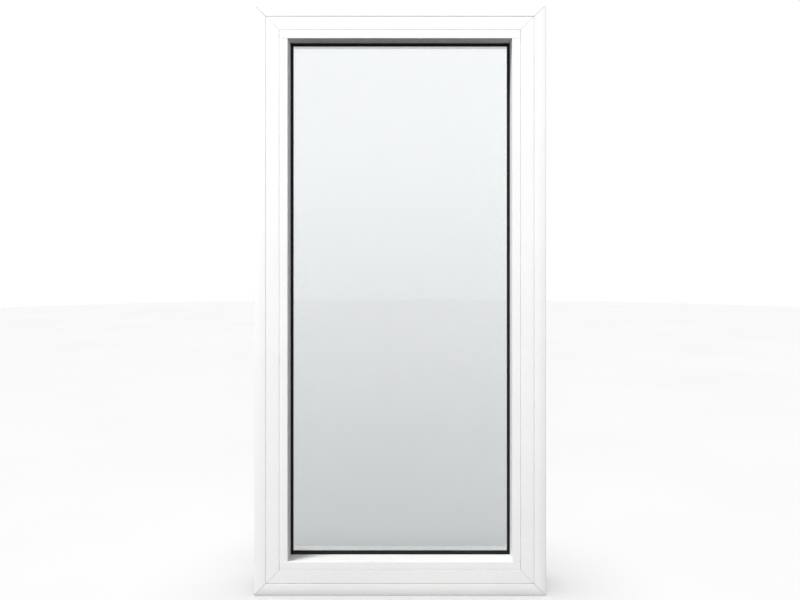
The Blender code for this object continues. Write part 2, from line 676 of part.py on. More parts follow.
def build_operator_arm():
    """The operator arm with its gear sector, the roller at its end and the channel the roller runs in."""
    centre = (GEAR_X, GEAR_Y)
    arm_half = OPERATOR_ARM_WIDTH / 2
    outline = capsule(centre, (ROLLER_X, CHANNEL_Y), arm_half, arm_half)
    arm_top = GEAR_BOTTOM + ARM_THICKNESS
    arm = add_prism("operator_arm", "Z", outline, GEAR_BOTTOM, arm_top, STEEL_FINISH, GEAR_ORIGIN)
    teeth_needed = math.ceil(GEAR_SWEEP / 360 * GEAR_TEETH) + 1
    sector = toothed_arc(centre, GEAR_MODULE, GEAR_TEETH, -teeth_needed, 1)
    sector += arc(centre, HUB_RADIUS * 0.8, 60, 210, 6)
    sector_piece = add_prism("join_gear_sector", "Z", sector, GEAR_BOTTOM, GEAR_TOP, STEEL_FINISH)
    combine(arm, sector_piece, "UNION")
    hub_height = [(HUB_RADIUS, BASE_TOP + GAP), (HUB_RADIUS, GEAR_TOP - FACE_CLEARANCE)]
    hub = add_turned("join_gear_hub", "Z", centre, hub_height, STEEL_FINISH)
    combine(arm, hub, "UNION")
    roller_pin = LOCK_STUD_RADIUS
    pin_top = SASH_ARM_TOP - CHANNEL_TOP - FACE_CLEARANCE
    pin_height = [(roller_pin, GEAR_BOTTOM + ARM_THICKNESS / 2), (roller_pin, pin_top)]
    pin = add_turned("join_roller_pin", "Z", (ROLLER_X, CHANNEL_Y), pin_height, STEEL_FINISH)
    combine(arm, pin, "UNION")
    bore_radius = POST_RADIUS + PIN_CLEARANCE
    bore_run = [(bore_radius, GEAR_BOTTOM - BORE_OVERRUN), (bore_radius, GEAR_TOP + BORE_OVERRUN)]
    bore = add_turned("cut_gear_bore", "Z", centre, bore_run, STEEL_FINISH)
    combine(arm, bore, "DIFFERENCE")
    add_prism(
        "arm_roller",
        "Z",
        circle((ROLLER_X, CHANNEL_Y), ROLLER_RADIUS),
        GEAR_BOTTOM + ARM_THICKNESS + GAP,
        pin_top - GAP,
        NYLON,
        GEAR_ORIGIN,
        [circle((ROLLER_X, CHANNEL_Y), roller_pin + GAP, 16)],
    )
    inner = ROLLER_RADIUS + ROLLER_CLEARANCE
    outer = inner + CHANNEL_WALL
    rim = GEAR_BOTTOM + ARM_THICKNESS + 2 * FACE_CLEARANCE
    roof = SASH_ARM_TOP - CHANNEL_TOP
    channel = [
        (CHANNEL_Y - outer, rim),
        (CHANNEL_Y - inner, rim),
        (CHANNEL_Y - inner, roof),
        (CHANNEL_Y + inner, roof),
        (CHANNEL_Y + inner, rim),
        (CHANNEL_Y + outer, rim),
        (CHANNEL_Y + outer, SASH_ARM_TOP),
        (CHANNEL_Y - outer, SASH_ARM_TOP),
    ]
    reach = CHANNEL_RUN / 2 + ROLLER_RADIUS + CHANNEL_END
    left = CHANNEL_X - reach
    right = CHANNEL_X + reach
    add_prism("operator_channel", "X", channel, left, right, STEEL_FINISH, SASH_ORIGIN)


def build_operator_housing():
    """The operator's base with its gear post and worm bearing, and the cover over them."""
    plate_low = (GEAR_X - BASE_PAST_GEAR, COVER_FRONT)
    plate_high = (WORM_X + BASE_PAST_WORM, BACK - BASE_SETBACK)
    plate = rectangle(plate_low, plate_high)
    base = add_prism("operator_base", "Z", plate, TRACK_BASE, BASE_TOP, STEEL_FINISH)
    post_height = [(POST_RADIUS, TRACK_BASE + ROOT_DEPTH), (POST_RADIUS, GEAR_TOP + 2 * FACE_CLEARANCE)]
    post = add_turned("join_gear_post", "Z", (GEAR_X, GEAR_Y), post_height, STEEL_FINISH)
    combine(base, post, "UNION")
    bearing_front = GEAR_Y + WORM_LENGTH / 2 + WORM_TO_BEARING
    half_block = SHAFT_RADIUS + BEARING_WALL
    block_low = (WORM_X - half_block, TRACK_BASE + ROOT_DEPTH)
    block = rectangle(block_low, (WORM_X + half_block, WORM_Z + half_block))
    bearing_back = bearing_front + BEARING_LENGTH
    bearing = add_prism("join_worm_bearing", "Y", block, bearing_front, bearing_back, STEEL_FINISH)
    combine(base, bearing, "UNION")
    bore_radius = SHAFT_RADIUS + PIN_CLEARANCE + 0.0001
    bore_run = [(bore_radius, bearing_front - COVER_CUT), (bore_radius, bearing_back + COVER_CUT)]
    bore = add_turned("cut_worm_bore", "Y", (WORM_X, WORM_Z), bore_run, STEEL_FINISH)
    combine(base, bore, "DIFFERENCE")

    arm_edge = GEAR_Y - STOP_BACK + OPERATOR_ARM_WIDTH / 2 / math.cos(ARM_START)
    left = GEAR_X - arm_edge / math.tan(ARM_START) - 0.003
    right = WORM_X + 0.012
    slope = 0.004
    hood = [
        (COVER_FRONT, BASE_TOP + GAP),
        (COVER_BACK, BASE_TOP + GAP),
        (COVER_BACK, COVER_TOP - slope),
        (COVER_BACK - slope, COVER_TOP),
        (COVER_FRONT, COVER_TOP),
    ]
    cover = add_prism("operator_cover", "X", hood, left, right, HARDWARE_COAT)
    room = [
        (COVER_FRONT - COVER_CUT, BASE_TOP - COVER_CUT),
        (COVER_BACK - COVER_WALL, BASE_TOP - COVER_CUT),
        (COVER_BACK - COVER_WALL, COVER_TOP - slope),
        (COVER_BACK - slope, COVER_TOP - COVER_WALL),
        (COVER_FRONT - COVER_CUT, COVER_TOP - COVER_WALL),
    ]
    hollow = add_prism("cut_cover_room", "X", room, left + COVER_WALL, right - COVER_WALL, HARDWARE_COAT)
    combine(cover, hollow, "DIFFERENCE")
    collar = SHAFT_RADIUS + 0.0010
    shaft_hole_run = [(collar, COVER_BACK - 3 * COVER_CUT), (collar, COVER_BACK + COVER_CUT)]
    shaft_hole = add_turned("cut_shaft_hole", "Y", (WORM_X, WORM_Z), shaft_hole_run, HARDWARE_COAT)
    combine(cover, shaft_hole, "DIFFERENCE")


def worm_radius_at(y, angle):
    """The worm's surface: a left-hand thread with sloping flanks that fades out at both ends."""
    root = WORM_RADIUS - TOOTH_DEPTH * GEAR_MODULE
    tip = WORM_RADIUS + TOOTH_HEIGHT * GEAR_MODULE
    turns = (y - GEAR_Y) / WORM_PITCH - 0.5 + angle / (2 * math.pi)
    offset = abs(turns - round(turns)) * WORM_PITCH / GEAR_MODULE
    height = min(max((TOOTH_FOOT - offset) / (TOOTH_FOOT - TOOTH_CREST), 0), 1)
    from_end = WORM_LENGTH / 2 - abs(y - GEAR_Y)
    fade = min(max(from_end / 0.0008, 0), 1)
    return root + (tip - root) * height * fade


def build_worm():
    """The worm and its shaft, out to the crank."""
    steps = 24
    rings_per_pitch = 10
    count = round(WORM_LENGTH / WORM_PITCH * rings_per_pitch)
    start = GEAR_Y - WORM_LENGTH / 2
    shaft_end = CRANK_HUB_Y + SHAFT_IN_HUB
    mesh_builder = bmesh.new()
    rings = []
    stations = [start + WORM_LENGTH * i / count for i in range(count + 1)]
    for y in stations + [stations[-1] + 0.0005, shaft_end]:
        ring = []
        for i in range(steps):
            angle = 2 * math.pi * i / steps
            radius = worm_radius_at(y, angle) if y <= stations[-1] else SHAFT_RADIUS
            spot = (WORM_X - radius * math.cos(angle), y, WORM_Z + radius * math.sin(angle))
            ring.append(mesh_builder.verts.new(spot))
        rings.append(ring)
    for lower, upper in zip(rings, rings[1:]):
        for i in range(steps):
            j = (i + 1) % steps
            mesh_builder.faces.new((lower[i], lower[j], upper[j], upper[i]))
    mesh_builder.faces.new(rings[0])
    mesh_builder.faces.new(rings[-1])
    finish_object("worm_shaft", mesh_builder, STEEL_FINISH, WORM_ORIGIN, True)


def build_crank():
    """The crank: a hub on the worm shaft, a folding handle on its pin and a knob that spins."""
    hub_profile = [
        (CRANK_HUB_RADIUS - HUB_CHAMFER, CRANK_HUB_Y),
        (CRANK_HUB_RADIUS, CRANK_HUB_Y + HUB_CHAMFER),
        (CRANK_HUB_RADIUS, CRANK_HUB_Y + CRANK_HUB_LENGTH - HUB_CHAMFER),
        (CRANK_HUB_RADIUS - HUB_CHAMFER, CRANK_HUB_Y + CRANK_HUB_LENGTH),
    ]
    hub = add_turned("crank_hub", "Y", (WORM_X, WORM_Z), hub_profile, HARDWARE_COAT, WORM_ORIGIN)
    tongue_root = (WORM_X, CRANK_HUB_Y + TONGUE_ROOT)
    tongue_outline = capsule(tongue_root, (WORM_X, CRANK_PIVOT_Y), TONGUE_HALF, TONGUE_HALF)
    low = WORM_Z - CRANK_TONGUE / 2
    high = WORM_Z + CRANK_TONGUE / 2
    tongue = add_prism("join_crank_tongue", "Z", tongue_outline, low, high, HARDWARE_COAT)
    combine(hub, tongue, "UNION")
    socket_radius = SHAFT_RADIUS + GAP
    socket_run = [(socket_radius, CRANK_HUB_Y - CUT_OVERRUN), (socket_radius, CRANK_HUB_Y + SHAFT_IN_HUB + GAP)]
    socket = add_turned("cut_crank_socket", "Y", (WORM_X, WORM_Z), socket_run, HARDWARE_COAT)
    combine(hub, socket, "DIFFERENCE")
    pin_hole_radius = CRANK_PIN_RADIUS + GAP
    pin_hole_run = [(pin_hole_radius, low - CRANK_HEIGHT), (pin_hole_radius, high + CRANK_HEIGHT)]
    pivot = (WORM_X, CRANK_PIVOT_Y)
    pin_hole = add_turned("cut_crank_pin_hole", "Z", pivot, pin_hole_run, HARDWARE_COAT)
    combine(hub, pin_hole, "DIFFERENCE")
    half_height = CRANK_HEIGHT / 2
    pin_half = half_height - FACE_CLEARANCE
    pin_run = [(CRANK_PIN_RADIUS, WORM_Z - pin_half), (CRANK_PIN_RADIUS, WORM_Z + pin_half)]
    add_turned("crank_pin", "Z", pivot, pin_run, STEEL_FINISH, WORM_ORIGIN)

    handle_origin = (WORM_X, CRANK_PIVOT_Y, WORM_Z)
    outline = capsule(pivot, (KNOB_X, CRANK_PIVOT_Y), CRANK_WIDTH / 2, CRANK_WIDTH / 2 - 0.001)
    bottom = WORM_Z - half_height
    top = WORM_Z + half_height
    handle = add_prism("crank_handle", "Z", outline, bottom, top, HARDWARE_COAT, handle_origin)
    fork_room = capsule(pivot, (WORM_X - FORK_DEPTH, CRANK_PIVOT_Y), FORK_HALF, FORK_HALF)
    fork = add_prism("cut_crank_fork", "Z", fork_room, low - GAP, high + GAP, HARDWARE_COAT)
    combine(handle, fork, "DIFFERENCE")
    combine(handle, pin_hole, "DIFFERENCE")
    knob_base = CRANK_PIVOT_Y + CRANK_WIDTH / 2 - 0.001
    knob_bore_radius = CRANK_PIN_RADIUS + PIN_CLEARANCE
    knob_bore_run = [(knob_bore_radius, knob_base - 0.0040), (knob_bore_radius, knob_base + 0.010)]
    knob_bore = add_turned("cut_knob_bore", "Y", (KNOB_X, WORM_Z), knob_bore_run, HARDWARE_COAT)
    combine(handle, knob_bore, "DIFFERENCE")
    foot = knob_base + GAP
    knob_profile = [
        (CRANK_PIN_RADIUS, knob_base - 0.0036),
        (CRANK_PIN_RADIUS, foot),
        (KNOB_RADIUS * 0.62, foot),
        (KNOB_RADIUS * 0.70, foot + KNOB_LENGTH * 0.25),
    ]
    crown = foot + KNOB_LENGTH * 0.62
    rise = KNOB_LENGTH * 0.38
    for step in range(7):
        angle = math.radians(-35 + step * 20)
        knob_profile.append((KNOB_RADIUS * math.cos(angle), crown + rise * math.sin(angle)))
    add_turned("crank_knob", "Y", (KNOB_X, WORM_Z), knob_profile, HARDWARE_COAT, (KNOB_X, 0, WORM_Z))


def build_lock_drive():
    """The lock's lever, its escutcheon, and the pinion and rack inside the right jamb."""
    axis = (SPINDLE_Y, LOCK_HEIGHT)
    plate_x = JAMB_FACE - GAP
    half_width = ESCUTCHEON_WIDTH / 2
    straight = ESCUTCHEON_LENGTH / 2 - half_width
    plate_low = (SPINDLE_Y, LOCK_HEIGHT - straight)
    plate_high = (SPINDLE_Y, LOCK_HEIGHT + straight)
    plate = capsule(plate_low, plate_high, half_width, half_width)
    hole = [circle(axis, SPINDLE_RADIUS + SPINDLE_CLEARANCE)]
    plate_near = plate_x - ESCUTCHEON_THICKNESS
    add_prism("lock_escutcheon", "X", plate, plate_near, plate_x, HARDWARE_COAT, holes=hole)
    lever_x = plate_near - GAP
    tip = (SPINDLE_Y, LOCK_HEIGHT + LEVER_LENGTH)
    outline = capsule(axis, tip, LEVER_HUB_RADIUS, LEVER_TIP_RADIUS)
    lever_near = lever_x - LEVER_THICKNESS
    lever = add_prism("lock_lever", "X", outline, lever_near, lever_x, HARDWARE_COAT, SPINDLE_ORIGIN)
    socket_end = lever_x - LEVER_THICKNESS * 0.7
    socket_radius = SPINDLE_RADIUS + GAP
    socket_run = [(socket_radius, socket_end), (socket_radius, lever_x + CUT_OVERRUN)]
    socket = add_turned("cut_lever_socket", "X", axis, socket_run, HARDWARE_COAT)
    combine(lever, socket, "DIFFERENCE")

    wheel = toothed_arc(axis, PINION_MODULE, PINION_TEETH, 0, PINION_TEETH - 1)
    pinion_end = PINION_X + PINION_THICKNESS
    pinion = add_prism("lock_pinion", "X", wheel, PINION_X, pinion_end, STEEL_FINISH, SPINDLE_ORIGIN)
    spindle_run = [(SPINDLE_RADIUS, socket_end + GAP), (SPINDLE_RADIUS, pinion_end - 0.0005)]
    spindle = add_turned("join_spindle", "X", axis, spindle_run, STEEL_FINISH)
    combine(pinion, spindle, "UNION")

    pitch = math.pi * PINION_MODULE
    tip_y = RACK_PITCH_Y + TOOTH_HEIGHT * PINION_MODULE
    root_y = RACK_PITCH_Y - TOOTH_DEPTH * PINION_MODULE
    corners = ((root_y, -TOOTH_FOOT), (tip_y, -TOOTH_CREST), (tip_y, TOOTH_CREST), (root_y, TOOTH_FOOT))
    back_y = root_y - RACK_BACK
    outline = []
    teeth_below = math.ceil(RACK_TRAVEL / pitch) + 2
    for number in range(-teeth_below, 3):
        middle = LOCK_HEIGHT + (number + 0.5) * pitch
        for y, half in corners:
            outline.append((y, middle + half * PINION_MODULE))
    link_half = RACK_LINK_HALF
    outline += [
        (back_y, outline[-1][1]),
        (back_y, DRIVE_PIN_Z + link_half),
        (TIE_BAR_Y - RACK_LINK_REACH, DRIVE_PIN_Z + link_half),
        (TIE_BAR_Y - RACK_LINK_REACH, DRIVE_PIN_Z - link_half),
        (back_y, DRIVE_PIN_Z - link_half),
        (back_y, outline[0][1]),
    ]
    rack_x = PINION_X + 0.0005
    rack = add_prism("drive_rack", "X", outline, rack_x, pinion_end - 0.0005, STEEL_FINISH)
    pin_run = [(LOCK_ROLLER_RADIUS, TIE_BAR_X + 0.0005), (LOCK_ROLLER_RADIUS, rack_x + 0.002)]
    pin = add_turned("join_drive_pin", "X", (TIE_BAR_Y, DRIVE_PIN_Z), pin_run, STEEL_FINISH)
    combine(rack, pin, "UNION")


def build_tie_bar():
    """The tie bar with its two locking rollers, its guides on the jamb and the keepers on the sash."""
    half = TIE_BAR_WIDTH / 2
    outline = rectangle(
        (TIE_BAR_Y - half, LOWER_POINT - TIE_BAR_MARGIN), (TIE_BAR_Y + half, UPPER_POINT + TIE_BAR_MARGIN)
    )
    points = (("lower", LOWER_POINT), ("upper", UPPER_POINT))
    holes = [circle((TIE_BAR_Y, height), LOCK_STUD_RADIUS + GAP, 16) for _, height in points]
    holes.append(circle((TIE_BAR_Y, DRIVE_PIN_Z), LOCK_ROLLER_RADIUS + GAP))
    bar_back = TIE_BAR_X + TIE_BAR_THICKNESS
    add_prism("tie_bar", "X", outline, TIE_BAR_X, bar_back, STEEL_FINISH, holes=holes)
    keeper_face = SASH_SIDE + GAP
    plate_face = keeper_face + KEEPER_PLATE
    roller_end = plate_face + 0.0012
    for (place, height), sign in zip(points, (1, -1)):
        stud = [
            (LOCK_STUD_RADIUS, bar_back - GAP),
            (LOCK_STUD_RADIUS, TIE_BAR_X - GAP),
            (LOCK_ROLLER_RADIUS, TIE_BAR_X - GAP),
            (LOCK_ROLLER_RADIUS, roller_end),
        ]
        add_turned("lock_roller_" + place, "X", (TIE_BAR_Y, height), stud, STEEL_FINISH)
        near = TIE_BAR_Y + LOCK_ROLLER_RADIUS + KEEPER_CLEARANCE
        keeper = [
            (keeper_face, TIE_BAR_Y - KEEPER_REACH),
            (plate_face, TIE_BAR_Y - KEEPER_REACH),
            (plate_face, near),
            (plate_face + KEEPER_LIP, near),
            (plate_face + KEEPER_LIP, near + KEEPER_WALL),
            (plate_face, near + KEEPER_WALL),
            (plate_face, SASH_BACK - KEEPER_SETBACK),
            (keeper_face, SASH_BACK - KEEPER_SETBACK),
        ]
        bottom = height + KEEPER_LEAD
        top = bottom + KEEPER_LENGTH
        add_prism("keeper_" + place, "Z", keeper, bottom, top, STEEL_FINISH, SASH_ORIGIN)
        inner = half + FACE_CLEARANCE
        outer = inner + GUIDE_WALL
        jamb = JAMB_FACE - GAP
        roof = TIE_BAR_X - FACE_CLEARANCE
        guide = [
            (jamb, TIE_BAR_Y - outer),
            (jamb, TIE_BAR_Y - inner),
            (roof, TIE_BAR_Y - inner),
            (roof, TIE_BAR_Y + inner),
            (jamb, TIE_BAR_Y + inner),
            (jamb, TIE_BAR_Y + outer),
            (roof - GUIDE_WALL, TIE_BAR_Y + outer),
            (roof - GUIDE_WALL, TIE_BAR_Y - outer),
        ]
        middle = height + sign * GUIDE_TO_ROLLER
        low = middle - GUIDE_LENGTH / 2
        add_prism("tie_bar_guide_" + place, "Z", guide, low, low + GUIDE_LENGTH, STEEL_FINISH)


build_frame()
build_sash()
build_hinge("bottom", False)
build_hinge("top", True)
build_operator_arm()
build_operator_housing()
build_worm()
build_crank()
build_lock_drive()
build_tie_bar()
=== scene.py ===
"""The looks of the casement window: coated metal with rounded edges, seals, glazing and a pale studio.

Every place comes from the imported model. The outside faces -Y, and the sill's underside is at z = 0.
"""

import json
import math

import bmesh
import bpy
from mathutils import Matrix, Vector

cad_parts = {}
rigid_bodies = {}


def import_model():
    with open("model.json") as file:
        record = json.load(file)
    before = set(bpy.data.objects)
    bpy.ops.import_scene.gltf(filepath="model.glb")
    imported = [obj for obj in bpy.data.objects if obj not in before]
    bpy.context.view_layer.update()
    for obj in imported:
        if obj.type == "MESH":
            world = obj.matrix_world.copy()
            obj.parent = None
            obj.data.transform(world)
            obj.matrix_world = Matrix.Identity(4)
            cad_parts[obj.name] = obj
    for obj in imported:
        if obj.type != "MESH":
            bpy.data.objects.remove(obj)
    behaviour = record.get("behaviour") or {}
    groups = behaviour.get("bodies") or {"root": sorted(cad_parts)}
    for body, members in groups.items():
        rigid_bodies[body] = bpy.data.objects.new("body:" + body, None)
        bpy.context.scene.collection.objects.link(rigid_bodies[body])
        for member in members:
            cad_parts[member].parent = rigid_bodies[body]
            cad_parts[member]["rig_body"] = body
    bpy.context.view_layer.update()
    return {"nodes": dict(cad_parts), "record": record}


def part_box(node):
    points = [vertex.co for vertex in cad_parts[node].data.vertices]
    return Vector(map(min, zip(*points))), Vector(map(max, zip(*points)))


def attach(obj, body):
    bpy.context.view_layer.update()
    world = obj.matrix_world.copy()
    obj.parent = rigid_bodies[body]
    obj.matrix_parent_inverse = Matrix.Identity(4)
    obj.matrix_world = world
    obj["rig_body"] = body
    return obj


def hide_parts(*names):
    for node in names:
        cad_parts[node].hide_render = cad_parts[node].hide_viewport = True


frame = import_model()
NODES = frame["nodes"]

# Sizes that the looks add to the model, in metres
WELD = 0.000005
FLAT = math.radians(0.4)
SOFT_EDGE = math.radians(32)
PROFILE_ROUND = 0.00035
CASTING_ROUND = 0.0007
STEEL_ROUND = 0.00025
BEVEL_STEPS = 2
REVEAL_GAP = 0.0008
FLAP_FROM_FRONT = 0.0004
FLAP_DEPTH = 0.0018
FLAP_ROOT = 0.0001
FLAP_REACH = 0.00060
SCREW_RADIUS = 0.0031
SCREW_HEIGHT = 0.0009
SCREW_STEPS = 36
RECESS_LOBES = 6
SASH_ARM_THICKNESS = 0.0025
SASH_ARM_SCREWS = (0.018, 0.062)
COVER_SEAT = 0.0003

# The screw head as (radius, height, depth of the lobes), each a share of the head's own size
SCREW_PROFILE = (
    (1.00, 0.00, 0.0),
    (1.00, 0.35, 0.0),
    (0.90, 0.72, 0.0),
    (0.66, 0.92, 0.0),
    (0.42, 1.00, 0.16),
    (0.37, 0.30, 0.16),
)

# Camera
CAMERA_PLACE = (0.020, -1.511, 0.702)
CAMERA_LENS = 32.2
CAMERA_SENSOR = 36.0
CAMERA_SHIFT = (-0.0122, -0.0603)

# Studio
FLOOR_RADIUS = 9.0
FLOOR_STEPS = 96
LIGHT_TARGET = (0, 0, 0.6)
SOFT_LIGHTS = (
    # name, place, size, power
    ("key_softbox", (-3.60, -1.87, 6.2), 1.8, 458),
    ("front_softbox_left", (-1.7, -2.0, 1.40), 0.8, 16.5),
    ("front_softbox_right", (1.7, -2.0, 1.45), 0.8, 20.5),
    ("rear_softbox", (0.6, 3.0, 3.0), 2.0, 150),
)
WASH_POWER = 3.05
WASH_ANGLE = math.radians(25)
ROOM_LIGHT = 0.18
PANEL_LIGHT = 1.95


# Camera

def add_camera():
    """The camera stands level in front of the outside face, a little above mid height and to the right."""
    data = bpy.data.cameras.new("camera")
    data.lens = CAMERA_LENS
    data.sensor_width = CAMERA_SENSOR
    data.shift_x, data.shift_y = CAMERA_SHIFT
    camera = bpy.data.objects.new("camera", data)
    camera.location = CAMERA_PLACE
    camera.rotation_euler = (math.radians(90), 0, 0)
    bpy.context.scene.collection.objects.link(camera)
    bpy.context.scene.camera = camera


# Nodes shared by the materials and the world

def feed_input(tree, socket, value):
    """A socket takes either another node's output or a constant."""
    if hasattr(value, "is_output"):
        tree.links.new(value, socket)
    else:
        socket.default_value = value


def maths(tree, operation, first, second=0.0):
    node = tree.nodes.new("ShaderNodeMath")
    node.operation = operation
    feed_input(tree, node.inputs[0], first)
    feed_input(tree, node.inputs[1], second)
    return node.outputs[0]


# Materials

class Shader:
    """A new material with a Principled BSDF, and short calls for the nodes that feed it."""

    def __init__(self, name):
        self.material = bpy.data.materials.new(name)
        self.material.use_nodes = True
        self.tree = self.material.node_tree
        self.surface = self.tree.nodes["Principled BSDF"]
        self.place = self.tree.nodes.new("ShaderNodeTexCoord").outputs["Object"]

    def set(self, **values):
        """Constants go straight on the shader's sockets, with underscores for the spaces in their names."""
        for name, value in values.items():
            self.surface.inputs[name.replace("_", " ")].default_value = value

    def stretched(self, scale):
        """The object's own coordinates, in metres, scaled along each axis."""
        node = self.tree.nodes.new("ShaderNodeMapping")
        node.inputs["Scale"].default_value = scale
        self.tree.links.new(self.place, node.inputs["Vector"])
        return node.outputs["Vector"]

    def noise(self, scale, detail=2.0, roughness=0.5, vector=None):
        node = self.tree.nodes.new("ShaderNodeTexNoise")
        node.inputs["Scale"].default_value = scale
        node.inputs["Detail"].default_value = detail
        node.inputs["Roughness"].default_value = roughness
        self.tree.links.new(vector or self.place, node.inputs["Vector"])
        return node.outputs["Fac"]

    def cells(self, scale):
        """Distance to the nearest of many scattered points, for flecks and dimples."""
        node = self.tree.nodes.new("ShaderNodeTexVoronoi")
        node.inputs["Scale"].default_value = scale
        self.tree.links.new(self.place, node.inputs["Vector"])
        return node.outputs["Distance"]

    def ramp(self, value, *stops):
        """A colour ramp. Each stop is (position, colour), and a colour may be one grey number."""
        node = self.tree.nodes.new("ShaderNodeValToRGB")
        elements = node.color_ramp.elements
        while len(elements) < len(stops):
            elements.new(0.5)
        for element, (position, colour) in zip(elements, stops):
            element.position = position
            grey = isinstance(colour, (int, float))
            element.color = (colour, colour, colour, 1) if grey else (*colour, 1)
        self.tree.links.new(value, node.inputs["Fac"])
        return node.outputs["Color"]

    def spread(self, value, low, high):
        """A value from 0 to 1 spread from low to high."""
        node = self.tree.nodes.new("ShaderNodeMapRange")
        node.inputs["To Min"].default_value = low
        node.inputs["To Max"].default_value = high
        self.tree.links.new(value, node.inputs["Value"])
        return node.outputs["Result"]

    def mix(self, factor, first, second, kind="MIX"):
        node = self.tree.nodes.new("ShaderNodeMix")
        node.data_type = "RGBA"
        node.blend_type = kind
        for socket, value in (("Factor_Float", factor), ("A_Color", first), ("B_Color", second)):
            target = next(i for i in node.inputs if i.identifier == socket)
            if isinstance(value, (int, float, tuple)):
                target.default_value = value
            else:
                self.tree.links.new(value, target)
        return next(o for o in node.outputs if o.identifier == "Result_Color")

    def bump(self, height, distance, strength=1.0, below=None):
        node = self.tree.nodes.new("ShaderNodeBump")
        node.inputs["Distance"].default_value = distance
        node.inputs["Strength"].default_value = strength
        self.tree.links.new(height, node.inputs["Height"])
        if below is not None:
            self.tree.links.new(below, node.inputs["Normal"])
        return node.outputs["Normal"]

    def feed(self, socket, value):
        self.tree.links.new(value, self.surface.inputs[socket])
        return self


def powder_coat(name, light, dark, peel=0.00006):
    """Satin powder coat: a faint cloud and mottle in the tone, millimetre orange peel and fine grit."""
    shader = Shader(name)
    cloud = shader.ramp(shader.noise(9.0, 3.0), (0.35, dark), (0.65, light))
    grit = shader.ramp(shader.noise(2600.0, 1.0), (0.30, 0.93), (0.60, 1.0))
    mottle = shader.ramp(shader.noise(480.0, 2.0), (0.34, 0.955), (0.66, 1.0))
    shader.feed("Base Color", shader.mix(1.0, cloud, shader.mix(1.0, grit, mottle, "MULTIPLY"), "MULTIPLY"))
    shader.feed("Roughness", shader.spread(shader.noise(420.0, 3.0), 0.36, 0.56))
    peel_normal = shader.bump(shader.noise(850.0, 2.0), peel)
    shader.feed("Normal", shader.bump(shader.noise(3200.0, 1.0), peel / 4, below=peel_normal))
    shader.set(Metallic=0.0, IOR=1.5)
    return shader.material


def die_cast_coat(name, light, dark):
    """Smooth glossier coat on a casting: soft lumps under the skin and light rub marks."""
    shader = Shader(name)
    cloud = shader.ramp(shader.noise(30.0, 4.0), (0.3, dark), (0.7, light))
    shader.feed("Base Color", cloud)
    rubs = shader.noise(90.0, 6.0, 0.7, shader.stretched((1.0, 1.0, 6.0)))
    shader.feed("Roughness", shader.spread(rubs, 0.20, 0.42))
    lumps = shader.bump(shader.noise(160.0, 2.0), 0.00012)
    shader.feed("Normal", shader.bump(shader.noise(1500.0, 2.0), 0.00002, below=lumps))
    shader.set(Coat_Weight=0.25, Coat_Roughness=0.12, IOR=1.5)
    return shader.material


def brushed_steel(name, along, colour=(0.62, 0.62, 0.60)):
    """Rolled stainless strip: fine lines along one axis, with slow changes in tone and gloss."""
    shader = Shader(name)
    scale = [60.0 if axis == along else 3200.0 for axis in "XYZ"]
    lines = shader.noise(1.0, 3.0, 0.6, shader.stretched(scale))
    tone = shader.noise(45.0, 4.0)
    dark = tuple(0.72 * part for part in colour)
    base = shader.ramp(tone, (0.3, dark), (0.7, colour))
    line_tone = shader.ramp(lines, (0.35, 0.82), (0.65, 1.0))
    shader.feed("Base Color", shader.mix(1.0, base, line_tone, "MULTIPLY"))
    shader.feed("Roughness", shader.spread(lines, 0.22, 0.46))
    shader.feed("Normal", shader.bump(lines, 0.00003))
    shader.set(Metallic=1.0)
    return shader.material


def machined_steel(name):
    """Cut gear steel with a film of grease: broad smears of gloss over fine tool marks."""
    shader = Shader(name)
    smears = shader.noise(220.0, 5.0, 0.65)
    shader.feed("Base Color", shader.ramp(smears, (0.3, (0.34, 0.33, 0.30)), (0.7, (0.58, 0.58, 0.57))))
    shader.feed("Roughness", shader.spread(smears, 0.16, 0.42))
    shader.feed("Normal", shader.bump(shader.noise(4200.0, 2.0), 0.00002))
    shader.set(Metallic=1.0)
    return shader.material


def cast_aluminium(name):
    """Mill aluminium: grey cloud, small dark pits and a slightly frosted skin."""
    shader = Shader(name)
    cloud = shader.ramp(shader.noise(70.0, 5.0), (0.3, (0.55, 0.55, 0.56)), (0.7, (0.74, 0.74, 0.75)))
    pits = shader.ramp(shader.cells(700.0), (0.08, 0.45), (0.22, 1.0))
    shader.feed("Base Color", shader.mix(1.0, cloud, pits, "MULTIPLY"))
    shader.feed("Roughness", shader.spread(shader.noise(300.0, 3.0), 0.34, 0.58))
    shader.feed("Normal", shader.bump(shader.noise(900.0, 3.0), 0.00006))
    shader.set(Metallic=1.0)
    return shader.material


def rubber(name, light, dark, low=0.58, high=0.82, shine=0.5):
    """Extruded rubber: die lines, a faint bloom and a matt skin."""
    shader = Shader(name)
    bloom = shader.noise(60.0, 5.0, 0.6)
    shader.feed("Base Color", shader.ramp(bloom, (0.35, dark), (0.75, light)))
    shader.feed("Roughness", shader.spread(shader.noise(500.0, 3.0), low, high))
    shader.feed("Normal", shader.bump(shader.noise(1800.0, 2.0), 0.00004))
    shader.set(IOR=1.5, Specular_IOR_Level=shine)
    return shader.material


def moulded_nylon(name, light, dark):
    """Moulded nylon: waxy, slightly see-through, with a fine spark-eroded grain."""
    shader = Shader(name)
    shader.feed("Base Color", shader.ramp(shader.noise(120.0, 4.0), (0.3, dark), (0.7, light)))
    shader.feed("Roughness", shader.spread(shader.noise(800.0, 2.0), 0.34, 0.52))
    shader.feed("Normal", shader.bump(shader.noise(2600.0, 2.0), 0.00003))
    shader.set(Subsurface_Weight=0.15, Subsurface_Scale=0.001)
    return shader.material


